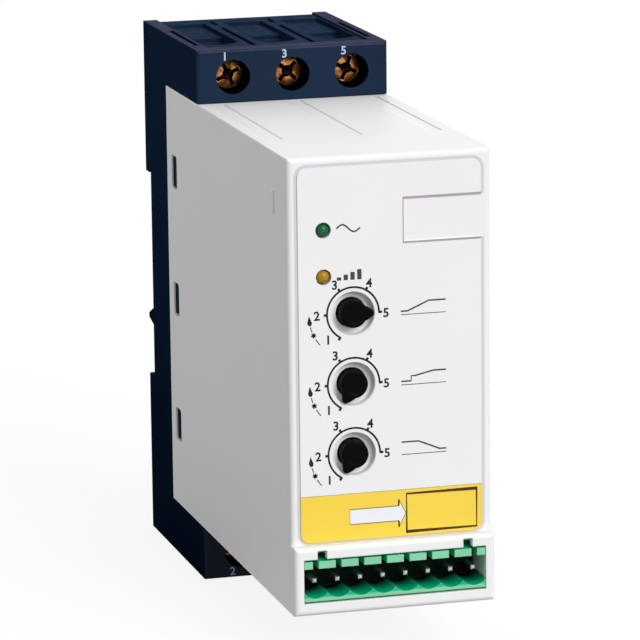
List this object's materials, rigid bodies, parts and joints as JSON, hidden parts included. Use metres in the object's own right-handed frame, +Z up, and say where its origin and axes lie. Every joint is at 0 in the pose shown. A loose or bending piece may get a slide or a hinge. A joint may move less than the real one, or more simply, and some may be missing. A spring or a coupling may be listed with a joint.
{
  "type": "soft starter",
  "caption": "Slim motor soft starter for a mounting rail: dark base with screw clamps, white cover, setting dials, lamps and a plug-in control header.",
  "frame": {"origin": "middle of the mounting rail, on the back plane", "axes": "+X right seen from the front, +Y out of the back towards the rail, +Z up; the dials face -Y"},
  "size_m": [0.0456, 0.1307, 0.124],
  "materials": {
    "base_plastic": "moulded dark blue, satin",
    "cover_plastic": "moulded white, fine satin grain",
    "film_white": "printed film, satin",
    "label_yellow": "printed label, smooth",
    "header_green": "moulded green, satin",
    "pin_tin": "tin plated",
    "board_green": "solder mask",
    "sink_aluminium": "extruded",
    "module_black": "moulded black",
    "screw_steel": "zinc plated",
    "relay_blue": "moulded",
    "can_sleeve": "sleeved can",
    "disc_blue": "dipped coating",
    "core_ferrite": "ferrite and tape",
    "bar_copper": "copper strip",
    "trimmer_blue": "moulded",
    "knob_black": "moulded black",
    "lamp_green": "tinted lens",
    "lamp_amber": "tinted lens",
    "cage_steel": "plated",
    "screw_brass": "brass, satin",
    "clip_plastic": "moulded dark",
    "spring_steel": "drawn wire"
  },
  "bodies": {
    "housing": {"rear_housing": "base_plastic", "front_cover": "cover_plastic", "front_film": "film_white", "range_label": "label_yellow", "control_header": "header_green", "header_pins": "pin_tin", "control_board": "board_green", "link_board": "board_green", "power_board": "board_green", "heat_sink": "sink_aluminium", "thyristor_module_1": "module_black", "thyristor_module_2": "module_black", "module_screws": "screw_steel", "bypass_relay_1": "relay_blue", "bypass_relay_2": "relay_blue", "supply_capacitors": "can_sleeve", "surge_discs": "disc_blue", "pulse_transformer": "core_ferrite", "control_chip": "module_black", "middle_phase_link": "bar_copper", "board_screws": "screw_steel", "base_screws": "screw_steel", "dial_trimmer_1": "trimmer_blue", "dial_trimmer_2": "trimmer_blue", "dial_trimmer_3": "trimmer_blue", "power_lamp": "lamp_green", "run_lamp": "lamp_amber", "terminal_bar_1": "bar_copper", "terminal_bar_2": "bar_copper", "terminal_bar_3": "bar_copper", "terminal_bar_4": "bar_copper", "terminal_bar_5": "bar_copper", "terminal_bar_6": "bar_copper", "clip_spring": "spring_steel"},
    "cage_1": {"clamp_cage_1": "cage_steel"},
    "screw_1": {"clamp_screw_1": "screw_brass"},
    "cage_2": {"clamp_cage_2": "cage_steel"},
    "screw_2": {"clamp_screw_2": "screw_brass"},
    "cage_3": {"clamp_cage_3": "cage_steel"},
    "screw_3": {"clamp_screw_3": "screw_brass"},
    "cage_4": {"clamp_cage_4": "cage_steel"},
    "screw_4": {"clamp_screw_4": "screw_brass"},
    "cage_5": {"clamp_cage_5": "cage_steel"},
    "screw_5": {"clamp_screw_5": "screw_brass"},
    "cage_6": {"clamp_cage_6": "cage_steel"},
    "screw_6": {"clamp_screw_6": "screw_brass"},
    "dial_1": {"dial_knob_1": "knob_black"},
    "dial_2": {"dial_knob_2": "knob_black"},
    "dial_3": {"dial_knob_3": "knob_black"},
    "clip": {"rail_clip": "clip_plastic"}
  },
  "joints": [
    {"name": "screw_1_turn", "type": "hinge", "parent": "housing", "child": "screw_1", "pos_m": [-0.014, -0.045, 0.046], "axis": [0, 1, 0], "range_deg": [0, 1800]},
    {"name": "cage_1_slide", "type": "slide", "parent": "housing", "child": "cage_1", "axis": [0, -1, 0], "range_m": [0, 0.0035]},
    {"name": "screw_2_turn", "type": "hinge", "parent": "housing", "child": "screw_2", "pos_m": [-0.014, -0.045, -0.065], "axis": [0, 1, 0], "range_deg": [0, 1800]},
    {"name": "cage_2_slide", "type": "slide", "parent": "housing", "child": "cage_2", "axis": [0, -1, 0], "range_m": [0, 0.0035]},
    {"name": "screw_3_turn", "type": "hinge", "parent": "housing", "child": "screw_3", "pos_m": [0, -0.045, 0.046], "axis": [0, 1, 0], "range_deg": [0, 1800]},
    {"name": "cage_3_slide", "type": "slide", "parent": "housing", "child": "cage_3", "axis": [0, -1, 0], "range_m": [0, 0.0035]},
    {"name": "screw_4_turn", "type": "hinge", "parent": "housing", "child": "screw_4", "pos_m": [0, -0.045, -0.065], "axis": [0, 1, 0], "range_deg": [0, 1800]},
    {"name": "cage_4_slide", "type": "slide", "parent": "housing", "child": "cage_4", "axis": [0, -1, 0], "range_m": [0, 0.0035]},
    {"name": "screw_5_turn", "type": "hinge", "parent": "housing", "child": "screw_5", "pos_m": [0.014, -0.045, 0.046], "axis": [0, 1, 0], "range_deg": [0, 1800]},
    {"name": "cage_5_slide", "type": "slide", "parent": "housing", "child": "cage_5", "axis": [0, -1, 0], "range_m": [0, 0.0035]},
    {"name": "screw_6_turn", "type": "hinge", "parent": "housing", "child": "screw_6", "pos_m": [0.014, -0.045, -0.065], "axis": [0, 1, 0], "range_deg": [0, 1800]},
    {"name": "cage_6_slide", "type": "slide", "parent": "housing", "child": "cage_6", "axis": [0, -1, 0], "range_m": [0, 0.0035]},
    {"name": "dial_1_turn", "type": "hinge", "parent": "housing", "child": "dial_1", "pos_m": [-0.0083, -0.126, 0.00604], "axis": [0, 1, 0], "range_deg": [-240, 0]},
    {"name": "dial_2_turn", "type": "hinge", "parent": "housing", "child": "dial_2", "pos_m": [-0.0083, -0.126, -0.0093], "axis": [0, 1, 0], "range_deg": [0, 240]},
    {"name": "dial_3_turn", "type": "hinge", "parent": "housing", "child": "dial_3", "pos_m": [-0.0083, -0.126, -0.02464], "axis": [0, 1, 0], "range_deg": [0, 240]},
    {"name": "clip_slide", "type": "slide", "parent": "housing", "child": "clip", "axis": [0, 0, -1], "range_m": [0, 0.0035], "stiffness_N_per_m": 3900, "springref_m": -0.001, "deforming": ["clip_spring"]}
  ],
  "couplings": [
    {"joint": "screw_1_turn", "follows": "cage_1_slide", "rad_per_m": 8975},
    {"joint": "screw_2_turn", "follows": "cage_2_slide", "rad_per_m": 8975},
    {"joint": "screw_3_turn", "follows": "cage_3_slide", "rad_per_m": 8975},
    {"joint": "screw_4_turn", "follows": "cage_4_slide", "rad_per_m": 8975},
    {"joint": "screw_5_turn", "follows": "cage_5_slide", "rad_per_m": 8975},
    {"joint": "screw_6_turn", "follows": "cage_6_slide", "rad_per_m": 8975}
  ]
}
